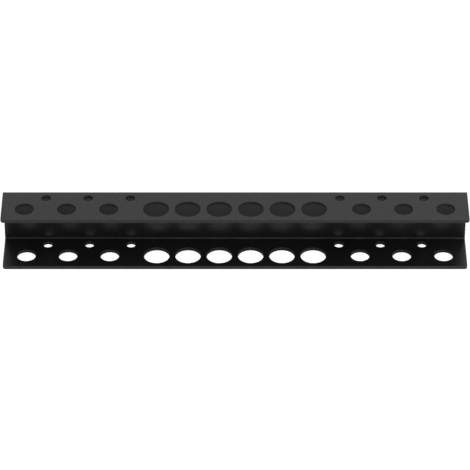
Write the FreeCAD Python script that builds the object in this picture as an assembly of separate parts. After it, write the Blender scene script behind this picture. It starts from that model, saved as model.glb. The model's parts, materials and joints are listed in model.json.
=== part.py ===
import FreeCAD
import Part
import math
import os

# A wall rack for hand tools, folded from one steel sheet. A back plate carries two shelves
# that point forward, and the same holes lie in both shelves, one straight below the other.
# X runs along the rack, the front faces -Y and +Z is up. The origin is the middle of the
# face that lies on the wall.

# Driving dimensions, in millimetres
sheet_thickness = 3.5
bend_inside_radius = 1.5
rack_height = 58.0
shelf_corner_radius = 3.0
cut_edge_radius = 0.5  # rounding of the sheet's two edges, all round its outline

# Front row, large holes in the middle of the rack
large_hole_diameter = 24.5
large_hole_count = 6
large_hole_web = 5.5  # metal left between two neighbouring large holes
front_web = 5.75  # metal left between a large hole and the shelf's front edge

# Front row, a group of medium holes at each end
medium_hole_diameter = 18.0
medium_hole_count = 3
medium_hole_pitch = 40.0
group_spacing = 45.0  # from the last large hole's axis to the nearest medium hole's
end_margin = 22.0  # from the outermost medium hole's axis to the end of the sheet

# Back row, one small hole beside each medium one, on the side of the rack's middle
small_hole_diameter = 9.0
small_hole_offset = 20.0  # along the rack, from the medium hole's axis
row_spacing = 17.75  # from the front row's axes back to the back row's
bend_clearance = 3.75  # flat metal left between a small hole and the bend

# Holes in the back plate for the screws into the wall, one near each end
fixing_hole_diameter = 5.0
fixing_end_distance = 42.0  # from the end of the sheet to the hole's axis

# Sizes that follow from those above
bend_outside_radius = bend_inside_radius + sheet_thickness
top = rack_height / 2
large_hole_pitch = large_hole_diameter + large_hole_web
outer_large_x = (large_hole_count - 1) / 2 * large_hole_pitch
inner_medium_x = outer_large_x + group_spacing
outer_medium_x = inner_medium_x + (medium_hole_count - 1) * medium_hole_pitch
rack_end_x = outer_medium_x + end_margin
back_row_y = -(bend_outside_radius + bend_clearance + small_hole_diameter / 2)
front_row_y = back_row_y - row_spacing
front_edge_y = front_row_y - large_hole_diameter / 2 - front_web
fixing_hole_x = rack_end_x - fixing_end_distance

# How far a cutting cylinder runs past the faces that it opens
overrun = 1.0


def section_point(y, z):
    """A point of the sheet's section, drawn at the rack's left end."""
    return FreeCAD.Vector(-rack_end_x, y, z)


def section_side(inset):
    """One side of the folded sheet's section, from the top shelf's front edge to the bottom one's.

    An inset of nothing gives the outer side, and one sheet thickness gives the inner side.
    Both sides turn about the same two bend centres.
    """
    radius = bend_outside_radius - inset
    level = top - inset
    bend_centre = top - bend_outside_radius
    bend_middle = radius * math.sqrt(0.5)
    shelf_end = section_point(-bend_outside_radius, level)
    plate_end = section_point(-inset, bend_centre)
    middle = section_point(bend_middle - bend_outside_radius, bend_centre + bend_middle)
    upper = [
        Part.LineSegment(section_point(front_edge_y, level), shelf_end).toShape(),
        Part.Arc(shelf_end, middle, plate_end).toShape(),
    ]
    lower = [mirrored(edge) for edge in upper]
    plate = Part.LineSegment(plate_end, section_point(-inset, -bend_centre)).toShape()
    return upper + [plate] + lower


def mirrored(shape):
    """The same shape below the rack's middle plane."""
    return shape.mirror(FreeCAD.Vector(0, 0, 0), FreeCAD.Vector(0, 0, 1))


def front_cut_edge():
    """The cut edge along the front of the top shelf, in the section."""
    outer = section_point(front_edge_y, top)
    inner = section_point(front_edge_y, top - sheet_thickness)
    return Part.LineSegment(outer, inner).toShape()


def folded_sheet():
    """The sheet folded to a C section, with square corners and edges and no holes."""
    front = front_cut_edge()
    edges = section_side(0) + section_side(sheet_thickness) + [front, mirrored(front)]
    outline = Part.Wire(Part.sortEdges(edges)[0])
    return Part.Face(outline).extrude(FreeCAD.Vector(2 * rack_end_x, 0, 0))


def at_front_corner(point):
    """Whether a point is at one of the shelves' front corners, seen from above."""
    return math.isclose(abs(point.x), rack_end_x) and math.isclose(point.y, front_edge_y)


def round_front_corners(sheet):
    """Rounds the upright edge at each front corner of both shelves."""
    corners = [edge for edge in sheet.Edges if at_front_corner(edge.CenterOfMass)]
    return sheet.makeFillet(shelf_corner_radius, corners)


def is_square(edge, sheet):
    """Whether the two faces that meet at the middle of an edge stand square to each other."""
    middle = edge.valueAt((edge.FirstParameter + edge.LastParameter) / 2)
    first, second = (
        face.normalAt(*face.Surface.parameter(middle))
        for face in sheet.ancestorsOfType(edge, Part.Face)
    )
    return math.isclose(first.dot(second), 0, abs_tol=0.01)


def round_cut_edges(sheet):
    """Rounds the edges where the cut meets the sheet's outer and inner side, all round it."""
    cut_edges = [edge for edge in sheet.Edges if is_square(edge, sheet)]
    return sheet.makeFillet(cut_edge_radius, cut_edges)


def large_hole_places():
    """X of each large hole, evenly spaced about the middle of the rack."""
    return [index * large_hole_pitch - outer_large_x for index in range(large_hole_count)]


def medium_hole_places():
    """X of each medium hole of the right-hand group, from the middle outwards."""
    return [inner_medium_x + index * medium_hole_pitch for index in range(medium_hole_count)]


def shelf_hole(x, y, diameter):
    """A cylinder that opens one hole in the top shelf and the one straight below it."""
    length = rack_height + 2 * overrun
    foot = FreeCAD.Vector(x, y, -top - overrun)
    return Part.makeCylinder(diameter / 2, length, foot, FreeCAD.Vector(0, 0, 1))


def front_row():
    """The large holes in the middle and a group of medium holes at each end."""
    large = [shelf_hole(x, front_row_y, large_hole_diameter) for x in large_hole_places()]
    medium = [
        shelf_hole(side * x, front_row_y, medium_hole_diameter)
        for side in (-1, 1)
        for x in medium_hole_places()
    ]
    return large + medium


def back_row():
    """The small holes, each a step nearer the rack's middle than its medium hole."""
    return [
        shelf_hole(side * (x - small_hole_offset), back_row_y, small_hole_diameter)
        for side in (-1, 1)
        for x in medium_hole_places()
    ]


def fixing_holes():
    """The screw holes through the back plate, at half its height."""
    length = sheet_thickness + 2 * overrun
    return [
        Part.makeCylinder(
            fixing_hole_diameter / 2,
            length,
            FreeCAD.Vector(x, overrun, 0),
            FreeCAD.Vector(0, -1, 0),
        )
        for x in (-fixing_hole_x, fixing_hole_x)
    ]


def rack():
    """The finished rack, one folded and pierced sheet."""
    sheet = round_cut_edges(round_front_corners(folded_sheet()))
    pierced = sheet.cut(front_row() + back_row() + fixing_holes())
    return pierced.Solids[0]


os.makedirs("parts", exist_ok=True)
rack().exportStep("parts/rack.step")
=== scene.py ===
import json
import math

import bpy
import numpy as np
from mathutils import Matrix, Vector
from mathutils.geometry import delaunay_2d_cdt


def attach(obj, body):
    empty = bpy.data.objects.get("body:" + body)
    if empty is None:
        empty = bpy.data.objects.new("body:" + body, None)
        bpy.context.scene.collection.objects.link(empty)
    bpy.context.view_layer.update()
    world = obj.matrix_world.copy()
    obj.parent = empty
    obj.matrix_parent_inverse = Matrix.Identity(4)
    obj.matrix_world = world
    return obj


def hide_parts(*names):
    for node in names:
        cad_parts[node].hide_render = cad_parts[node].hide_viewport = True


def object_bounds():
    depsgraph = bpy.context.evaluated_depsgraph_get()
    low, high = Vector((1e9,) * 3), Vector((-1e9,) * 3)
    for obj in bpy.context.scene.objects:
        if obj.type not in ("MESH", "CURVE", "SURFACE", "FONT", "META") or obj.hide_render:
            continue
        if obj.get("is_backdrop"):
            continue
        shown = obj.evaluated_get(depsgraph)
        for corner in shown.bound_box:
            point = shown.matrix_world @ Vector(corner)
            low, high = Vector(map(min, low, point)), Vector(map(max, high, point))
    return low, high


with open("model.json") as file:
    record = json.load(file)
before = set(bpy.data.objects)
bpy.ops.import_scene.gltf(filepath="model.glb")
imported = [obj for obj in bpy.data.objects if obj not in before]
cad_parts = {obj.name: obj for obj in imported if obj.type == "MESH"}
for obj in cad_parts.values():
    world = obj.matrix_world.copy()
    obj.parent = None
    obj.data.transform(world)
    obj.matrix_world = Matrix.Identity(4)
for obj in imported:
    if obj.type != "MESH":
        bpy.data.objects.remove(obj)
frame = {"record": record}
cad_low, cad_high = (list(corner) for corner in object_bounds())

# The rack is one steel sheet, cut and pierced flat, folded twice to a C section, blasted and
# powder coated. It is worked out in the same order: a flat sheet with rounded cut edges is
# drawn first, and one function then folds every point of it.
# A place on the flat sheet is (u, v): u runs along the rack, and v from the upper shelf's
# front edge over the back plate to the lower shelf's. Depth is counted below the outer face.

MM = 0.001  # lengths are in metres
FULL_TURN = 2 * math.pi
QUARTER = FULL_TURN / 4

# Sheet and folds
SHEET = 3.5 * MM
BEND_INSIDE = 1.5 * MM
BEND_OUTSIDE = BEND_INSIDE + SHEET
SHELF_CORNER = 3 * MM
EDGE_ROUND = 0.5 * MM  # every cut edge is rounded by tumbling, and the coat flows round it

# Outer sizes of the folded rack, from the frame
RACK_END = cad_high[0]
RACK_TOP = cad_high[2]
FRONT_EDGE = cad_low[1]
SHELF_FLAT = cad_high[1] - FRONT_EDGE - BEND_OUTSIDE
PLATE_FLAT = 2 * (RACK_TOP - BEND_OUTSIDE)

# Where each stretch of the flat sheet begins. A bend takes up the length of its middle fibre.
BEND_LENGTH = QUARTER * (BEND_INSIDE + SHEET / 2)
UPPER_BEND = SHELF_FLAT
PLATE = UPPER_BEND + BEND_LENGTH
LOWER_BEND = PLATE + PLATE_FLAT
LOWER_SHELF = LOWER_BEND + BEND_LENGTH
SHEET_LENGTH = LOWER_SHELF + SHELF_FLAT

# How finely the mesh is divided
STATION_STEP = 8 * MM
RIM_STEP = 0.9 * MM
BEND_STEPS = 12
CORNER_STEPS = 8
EDGE_STEPS = 5

# What the Delaunay call is asked for: triangles over all that its points enclose, with
# points counted as one where they lie nearer together than this, in millimetres
WHOLE_HULL = 0
SAME_POINT = 1e-4


def bend_turn(v):
    """How far the sheet has turned at v: a quarter turn for each bend, times the share passed of it."""
    upper = np.clip((v - UPPER_BEND) / BEND_LENGTH, 0, 1)
    lower = np.clip((v - LOWER_BEND) / BEND_LENGTH, 0, 1)
    return QUARTER * (upper + lower)


def fold(u, v, depth):
    """Points of the folded sheet.

    The bend centre sinks by the run down the back plate. A point lies (outside bend radius less
    depth) from it, in the section's direction (sin turn, cos turn) of y and z, and the run over
    a shelf's flat is taken off y.
    """
    turn = bend_turn(v)
    arm = BEND_OUTSIDE - depth
    shelf_run = np.maximum(UPPER_BEND - v, 0) + np.maximum(v - LOWER_SHELF, 0)
    plate_run = np.clip(v - PLATE, 0, PLATE_FLAT)
    y = arm * np.sin(turn) - BEND_OUTSIDE - shelf_run
    z = arm * np.cos(turn) + RACK_TOP - BEND_OUTSIDE - plate_run
    return np.stack(np.broadcast_arrays(u, y, z), axis=-1)


def fold_normal(v, across, along, out):
    """Normals of the folded sheet, from their parts along u, along v and out of the outer face.

    In the section the part along v turns to (cos turn, -sin turn) of y and z, and the part out
    of the face to (sin turn, cos turn).
    """
    turn = bend_turn(v)
    y = along * np.cos(turn) + out * np.sin(turn)
    z = out * np.cos(turn) - along * np.sin(turn)
    return np.stack(np.broadcast_arrays(across, y, z), axis=-1)


def evenly(start, end, step):
    """Stations from start to end, both counted, about a step apart."""
    return np.linspace(start, end, round((end - start) / step) + 1)


def stations_along():
    """Stations of u between the rounded corners."""
    return evenly(SHELF_CORNER - RACK_END, RACK_END - SHELF_CORNER, STATION_STEP)


def bend_stations():
    """Stations of v in the two bends, their first and last lines counted."""
    steps = np.linspace(0, BEND_LENGTH, BEND_STEPS + 1)
    return np.concatenate([UPPER_BEND + steps, LOWER_BEND + steps])


def stations_over():
    """Stations of v between the rounded corners: wide on the flats, close together in the bends."""
    upper, lower = np.split(bend_stations(), 2)
    return np.concatenate(
        [
            evenly(SHELF_CORNER, UPPER_BEND, STATION_STEP)[:-1],
            upper,
            evenly(PLATE, LOWER_BEND, STATION_STEP)[1:-1],
            lower,
            evenly(LOWER_SHELF, SHEET_LENGTH - SHELF_CORNER, STATION_STEP)[1:],
        ]
    )


def flat_points(u, v):
    """Points of the flat sheet. Either u or v may be one value for all of them."""
    return np.stack(np.broadcast_arrays(u, v), axis=-1)


def outline():
    """The flat sheet's outline, a rectangle with rounded corners, and the way out of the metal.

    It runs clockwise, so that the metal is on its right: up the left side, along the lower
    shelf's edge, down the right side and back. Each corner is a quarter circle about its centre.
    """
    along, over = stations_along(), stations_over()
    near, far = SHELF_CORNER, SHEET_LENGTH - SHELF_CORNER
    end = RACK_END - SHELF_CORNER
    sides = [
        (flat_points(-RACK_END, over), (-1, 0), (-end, far)),
        (flat_points(along, SHEET_LENGTH), (0, 1), (end, far)),
        (flat_points(RACK_END, over[::-1]), (1, 0), (end, near)),
        (flat_points(along[::-1], 0), (0, -1), (-end, near)),
    ]
    swing = np.linspace(0, QUARTER, CORNER_STEPS + 1)[1:-1]
    path, facing = [], []
    for side, (out_u, out_v), centre in sides:
        bearing = math.atan2(out_v, out_u) - swing
        ray = flat_points(np.cos(bearing), np.sin(bearing))
        path += [side, centre + SHELF_CORNER * ray]
        facing += [np.broadcast_to((out_u, out_v), side.shape), ray]
    return np.concatenate(path), np.concatenate(facing)


def rim(u, v, radius):
    """A hole's rim on the flat sheet, anticlockwise, and the way out of the metal, to its middle.

    A point lies one radius from (u, v), at an even share of the full turn.
    """
    angle = np.linspace(0, FULL_TURN, round(FULL_TURN * radius / RIM_STEP), endpoint=False)
    ray = flat_points(np.cos(angle), np.sin(angle))
    return (u, v) + radius * ray, -ray


def holes():
    """Every hole on the flat sheet as (u, v, radius), from the frame's mounts.

    A bore goes through both shelves, at one distance from either front edge, and the wall
    screws' holes lie half way down the back plate.
    """
    mounts = frame["record"]["mounts"]
    bores = [mount for mount in mounts if mount["kind"] == "bore"]
    screws = next(mount["dims"] for mount in mounts if mount["kind"] == "bolt_pattern")
    u, y, _ = np.array([bore["pos_m"] for bore in bores]).T
    radius = np.array([bore["dims"]["r_mm"] for bore in bores]) * MM
    v = y - FRONT_EDGE
    fixing_u = np.array([-1, 1]) * screws["spacing_x_mm"] / 2 * MM
    fixing = np.broadcast_arrays(fixing_u, SHEET_LENGTH / 2, screws["hole_r_mm"] * MM)
    upper, lower = (u, v, radius), (u, SHEET_LENGTH - v, radius)
    return np.concatenate([np.stack(row, axis=-1) for row in (upper, lower, fixing)])


def edge_profile():
    """The cut edge in section, from the outer face to the inner: quarter circle, straight, quarter circle.

    With a from nothing to a quarter turn, a point of the first quarter circle is set back by
    round * (1 - sin a) and lies round * (1 - cos a) deep, with the normal (sin a, cos a). The
    coat is thinnest half way round it, by sin 2a. The second is its mirror image.
    """
    a = np.linspace(0, QUARTER, EDGE_STEPS + 1)
    back = EDGE_ROUND * (1 - np.sin(a))
    deep = EDGE_ROUND * (1 - np.cos(a))
    side, out, thin = np.sin(a), np.cos(a), np.sin(2 * a)
    rows = ((back, back), (deep, SHEET - deep), (side, side), (out, -out), (thin, thin))
    return [np.concatenate([first, second[::-1]]) for first, second in rows]


def cut_edges(path, facing, in_hole):
    """Every cut edge: the edge profile along each path, with its points, normals and coat.

    The coat's thinness is the profile's. In a hole it is also matt, by the sine of the
    profile's turn away from the sheet's face.
    """
    back, deep, side, out, thin = edge_profile()
    flat = path[:, None] - back[:, None] * facing[:, None]
    across, along = side * facing[:, :1], side * facing[:, 1:]
    points = fold(flat[..., 0], flat[..., 1], deep)
    normals = fold_normal(flat[..., 1], across, along, out)
    matt = in_hole[:, None] * side
    return points, normals, np.broadcast_to(thin, matt.shape), matt


def next_in_loop(loop_of):
    """For each point, the one after it in its own loop, and after the last the first."""
    here = np.arange(len(loop_of))
    first = np.searchsorted(loop_of, loop_of)
    last = np.searchsorted(loop_of, loop_of, side="right") - 1
    return np.where(here == last, first, here + 1)


def face_triangles(loop_points, loop_of, row_points, row_ends):
    """Triangles over the flat sheet, anticlockwise, between its outline and its rims.

    The loops and the rows of points along the bends are kept as edges, so that no triangle
    spans a fold. A triangle with all its corners on one rim lies in that hole, and is left out.
    """
    count = len(loop_points)
    loop_edges = np.stack([np.arange(count), next_in_loop(loop_of)], axis=-1)
    inner = count + np.arange(row_points[..., 0].size).reshape(row_points.shape[:2])
    chain = np.concatenate([row_ends[:, :1], inner, row_ends[:, 1:]], axis=1)
    row_edges = np.stack([chain[:, :-1], chain[:, 1:]], axis=-1).reshape(-1, 2)
    flat = np.concatenate([loop_points, row_points.reshape(-1, 2)]) / MM
    edges = np.concatenate([loop_edges, row_edges])
    made = delaunay_2d_cdt(flat.tolist(), edges.tolist(), [], WHOLE_HULL, SAME_POINT)
    _, _, corners, given_points, _, _ = made
    triangles = np.array(given_points)[:, 0][np.array(corners)]
    owner = np.concatenate([loop_of, np.zeros(inner.size, int)])[triangles]
    in_hole = (owner == owner[:, :1]).all(axis=1) & (owner[:, 0] > 0)
    return triangles[~in_hole]


def sheet_mesh():
    """The folded rack as one closed mesh: points, normals, state of the coat, quads, triangles.

    The cut edges are strips of quads. Their first points bound the outer face and their last
    ones the inner face, and both faces have the same triangles, turned round on the inner one.
    On the faces' own points the coat is neither thin nor matt.
    """
    loops = [outline()] + [rim(*hole) for hole in holes()]
    path, facing = (np.concatenate(part) for part in zip(*loops))
    loop_of = np.repeat(np.arange(len(loops)), [len(loop) for loop, _ in loops])
    edge_points, edge_normals, thin, matt = cut_edges(path, facing, loop_of > 0)

    index = np.arange(thin.size).reshape(thin.shape)
    after = index[next_in_loop(loop_of)]
    quads = np.stack([index[:, :-1], after[:, :-1], after[:, 1:], index[:, 1:]], axis=-1)

    bends = np.flatnonzero(np.isin(stations_over(), bend_stations()))
    left = np.flatnonzero(path[:, 0] == -RACK_END)[bends]
    right = np.flatnonzero(path[:, 0] == RACK_END)[::-1][bends]
    rows = np.stack(np.meshgrid(stations_along(), bend_stations()), axis=-1)
    triangles = face_triangles(
        path - EDGE_ROUND * facing, loop_of, rows, np.stack([left, right], axis=-1)
    )

    u, v = rows.reshape(-1, 2).T
    outer = np.concatenate([index[:, 0], index.size + np.arange(u.size)])
    inner = np.concatenate([index[:, -1], index.size + u.size + np.arange(u.size)])
    points = [edge_points.reshape(-1, 3), fold(u, v, 0), fold(u, v, SHEET)]
    normals = [edge_normals.reshape(-1, 3), fold_normal(v, 0, 0, 1), fold_normal(v, 0, 0, -1)]
    thin, matt = (np.pad(state.ravel(), (0, 2 * u.size)) for state in (thin, matt))
    return (
        np.concatenate(points),
        np.concatenate(normals),
        {"coat_thin": thin, "coat_matt": matt},
        quads.reshape(-1, 4),
        np.concatenate([outer[triangles], inner[triangles[:, ::-1]]]),
    )


def make_rack():
    """The rack's object, with the folded sheet's own normals and the state of its coat."""
    points, normals, coat, quads, triangles = sheet_mesh()
    mesh = bpy.data.meshes.new("folded_sheet")
    mesh.from_pydata(points, [], quads.tolist() + triangles.tolist(), shade_flat=False)
    for name, values in coat.items():
        mesh.attributes.new(name, "FLOAT", "POINT").data.foreach_set("value", values)
    mesh.normals_split_custom_set_from_vertices(normals)
    rack = bpy.data.objects.new("folded_sheet", mesh)
    bpy.context.scene.collection.objects.link(rack)
    return rack


def linear(hex_colour):
    """An sRGB hex colour as linear red, green, blue and alpha.

    A share of full level is divided by 12.92 near black, and raised to about 2.4 above that.
    """
    srgb = [int(hex_colour[i : i + 2], 16) / 255 for i in (1, 3, 5)]
    return [c / 12.92 if c <= 0.04045 else ((c + 0.055) / 1.055) ** 2.4 for c in srgb] + [1]


def add_node(tree, kind, inputs=(), output=None, **settings):
    """Adds a node with its settings, and gives its output of that name, or else its first.

    An input, found by name or number, is a value or another node's output. A node that works on
    several kinds of data has sockets for each, so only those in use are looked through.
    """
    node = tree.nodes.new(kind)
    for name, value in settings.items():
        setattr(node, name, value)
    sockets = [socket for socket in node.inputs if socket.enabled]
    for name, value in dict(inputs).items():
        number = name if isinstance(name, int) else [socket.name for socket in sockets].index(name)
        if isinstance(value, bpy.types.NodeSocket):
            tree.links.new(value, sockets[number])
        else:
            sockets[number].default_value = value
    given = [socket for socket in node.outputs if socket.enabled and output in (None, socket.name)]
    return given[0] if given else None


def empty_material(name):
    """A node material with nothing in it, and its node tree."""
    material = bpy.data.materials.new(name)
    material.use_nodes = True
    material.node_tree.nodes.clear()
    return material, material.node_tree


# Clouds, which the passes of the spray leave. Their noise mostly keeps between two levels,
# over which the satin gets a little rougher.
CLOUD_SIZE = 30 * MM
CLOUD_LOW, CLOUD_HIGH = 0.3, 0.7
SATIN_LOW, SATIN_HIGH = 0.3, 0.36

# Orange peel, which the flow of the melt leaves
PEEL_SIZE = 1.6 * MM
PEEL_HEIGHT = 0.04 * MM

# The charged powder hardly enters a hole, so that the coat on its wall is grainy and matt
MATT = 0.9

# Cured polyester has about 1.5, and less than that gives the photograph's faint sheen
COAT_IOR = 1.38


def black_powder_coat():
    """Polyester powder, sprayed dry on blasted steel and baked to a skin 0.08 mm thick.

    That gives the eye a deep black with a satin sheen, a faint orange peel in it, a cloudiness
    that hardly shows, a slightly greyer line where the coat draws thin over a cut edge, and
    matt walls in the holes.
    """
    material, tree = empty_material("black_powder_coat_on_steel")
    place = add_node(tree, "ShaderNodeTexCoord", output="Object")
    clouds = {"Vector": place, "Scale": 1 / CLOUD_SIZE, "Detail": 3}
    cloud = add_node(tree, "ShaderNodeTexNoise", clouds)
    peels = {"Vector": place, "Scale": 1 / PEEL_SIZE, "Detail": 1}
    peel = add_node(tree, "ShaderNodeTexNoise", peels)
    bump = add_node(tree, "ShaderNodeBump", {"Height": peel, "Distance": PEEL_HEIGHT})
    black = {"Factor": cloud, "A": linear("#111112"), "B": linear("#161617")}
    coat = add_node(tree, "ShaderNodeMix", black, data_type="RGBA")
    thin = add_node(tree, "ShaderNodeAttribute", output="Fac", attribute_name="coat_thin")
    greyer = {"Factor": thin, "A": coat, "B": linear("#202021")}
    shown = add_node(tree, "ShaderNodeMix", greyer, data_type="RGBA")
    levels = {"Value": cloud, "From Min": CLOUD_LOW, "From Max": CLOUD_HIGH}
    spread = {**levels, "To Min": SATIN_LOW, "To Max": SATIN_HIGH}
    satin = add_node(tree, "ShaderNodeMapRange", spread)
    matt = add_node(tree, "ShaderNodeAttribute", output="Fac", attribute_name="coat_matt")
    rougher = {"Factor": matt, "A": satin, "B": MATT}
    roughness = add_node(tree, "ShaderNodeMix", rougher, data_type="FLOAT")
    surface = {"Base Color": shown, "Roughness": roughness, "IOR": COAT_IOR, "Normal": bump}
    shader = add_node(tree, "ShaderNodeBsdfPrincipled", surface)
    add_node(tree, "ShaderNodeOutputMaterial", {"Surface": shader})
    return material


# The floor lies well below the rack, as under a rack on a wall. Its glow rises from one
# value to the other between two distances from the middle of the rack's rear face.
FLOOR_DROP = 0.36
FLOOR = RACK_TOP - FLOOR_DROP
FLOOR_SIZE = 40
NEAR, NEAR_GLOW = 1, 0.35
FAR, FAR_GLOW = 4, 0.56

# Camera at the photograph's viewing angle. Lengths in the picture are in its own pixels,
# and the rack's middle here is that of its rear face.
CAMERA_ELEVATION = math.radians(35.67)
CAMERA_DISTANCE = 3.182  # from the rack's middle
FRAME_PIXELS = 470  # both wide and high
FOCAL_PIXELS = 3308
RACK_MIDDLE_ABOVE = 20.2  # from the frame's middle up to the rack's
SENSOR_MM = 36

# Light, in shares of the level that shows a white surface as white. Each softbox has its
# place, its width and its share.
WORLD_SHARE = 0.5
SOFTBOXES = {
    "softbox_above": ((0.5, -0.6, 2.2), 1.6, 0.4),
    "softbox_right": ((1.6, -1.5, 0.6), 1.8, 0.3),
    "softbox_behind": ((1.5, 2.6, 1.9), 1.6, 0.045),
}


def seen_as_background(tree):
    """1 for rays that show the background: the camera's own, and those off gloss or through glass."""
    rays = ("Is Camera Ray", "Is Glossy Ray", "Is Transmission Ray")
    camera, glossy, through = (add_node(tree, "ShaderNodeLightPath", output=ray) for ray in rays)
    either = add_node(tree, "ShaderNodeMath", {0: camera, 1: glossy}, operation="ADD")
    return add_node(tree, "ShaderNodeMath", {0: either, 1: through}, operation="MAXIMUM")


def white_board():
    """Matt white board, which glows a little for the background's rays alone to show as white.

    It still takes the rack's shadow, and from below it isn't there. The lamps' light on the
    board falls off with the distance from the rack, and the glow grows to make up for it.
    """
    material, tree = empty_material("matt_white_board")
    board = add_node(tree, "ShaderNodeBsdfDiffuse", {"Color": linear("#f2f2f2")})
    place = add_node(tree, "ShaderNodeTexCoord", output="Object")
    away = add_node(tree, "ShaderNodeVectorMath", {0: place}, "Value", operation="LENGTH")
    reach = {"Value": away, "From Min": NEAR, "From Max": FAR}
    grows = {**reach, "To Min": NEAR_GLOW, "To Max": FAR_GLOW}
    glow_there = add_node(tree, "ShaderNodeMapRange", grows)
    seen = seen_as_background(tree)
    level = add_node(tree, "ShaderNodeMath", {0: seen, 1: glow_there}, operation="MULTIPLY")
    glow = add_node(tree, "ShaderNodeEmission", {"Strength": level})
    lit = add_node(tree, "ShaderNodeAddShader", {0: board, 1: glow})
    below = add_node(tree, "ShaderNodeNewGeometry", output="Backfacing")
    clear = add_node(tree, "ShaderNodeBsdfTransparent")
    sided = add_node(tree, "ShaderNodeMixShader", {0: below, 1: lit, 2: clear})
    add_node(tree, "ShaderNodeOutputMaterial", {"Surface": sided})
    return material


def make_floor():
    """A square of floor under the rack."""
    side = FLOOR_SIZE / 2
    corners = [(-side, -side, FLOOR), (side, -side, FLOOR), (side, side, FLOOR), (-side, side, FLOOR)]
    mesh = bpy.data.meshes.new("floor")
    mesh.from_pydata(corners, [], [(0, 1, 2, 3)])
    mesh.materials.append(white_board())
    floor = bpy.data.objects.new("floor", mesh)
    bpy.context.scene.collection.objects.link(floor)
    floor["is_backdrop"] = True


def light_world():
    """White all round for the background's rays, and plain soft light at a lower level."""
    world = bpy.data.worlds.new("white_studio")
    world.use_nodes = True
    tree = world.node_tree
    tree.nodes.clear()
    levels = {"Value": seen_as_background(tree), "To Min": WORLD_SHARE, "To Max": 1}
    level = add_node(tree, "ShaderNodeMapRange", levels)
    sky = {"Color": linear("#ffffff"), "Strength": level}
    white = add_node(tree, "ShaderNodeBackground", sky)
    add_node(tree, "ShaderNodeOutputWorld", {"Surface": white})
    bpy.context.scene.world = world


def softbox(name, place, width, share):
    """A square lamp aimed at the rack's middle.

    Its power is its share of white, times pi squared, times its distance squared.
    """
    lamp = bpy.data.lights.new(name, "AREA")
    lamp.size = width
    lamp.energy = share * math.pi**2 * Vector(place).length_squared
    box = bpy.data.objects.new(name, lamp)
    box.location = place
    box.rotation_euler = Vector(place).to_track_quat("Z", "Y").to_euler()
    bpy.context.scene.collection.objects.link(box)


def make_camera():
    """The camera looks down at the rack along +Y, on a line that passes below the rack's middle.

    Its focal length is to the sensor's width as it is in pixels to the frame's.
    """
    lens = bpy.data.cameras.new("camera")
    lens.sensor_width = SENSOR_MM
    lens.lens = SENSOR_MM * FOCAL_PIXELS / FRAME_PIXELS
    camera = bpy.data.objects.new("camera", lens)
    y = -CAMERA_DISTANCE * math.cos(CAMERA_ELEVATION)
    z = CAMERA_DISTANCE * math.sin(CAMERA_ELEVATION)
    camera.location = (0, y, z)
    down = CAMERA_ELEVATION + math.atan(RACK_MIDDLE_ABOVE / FOCAL_PIXELS)
    camera.rotation_euler = (QUARTER - down, 0, 0)
    bpy.context.scene.collection.objects.link(camera)
    bpy.context.scene.camera = camera


rack = make_rack()
rack.data.materials.append(black_powder_coat())
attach(rack, "root")
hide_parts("rack")

make_floor()
light_world()
for name, (place, width, share) in SOFTBOXES.items():
    softbox(name, place, width, share)
make_camera()
bpy.context.scene.view_settings.view_transform = "Standard"
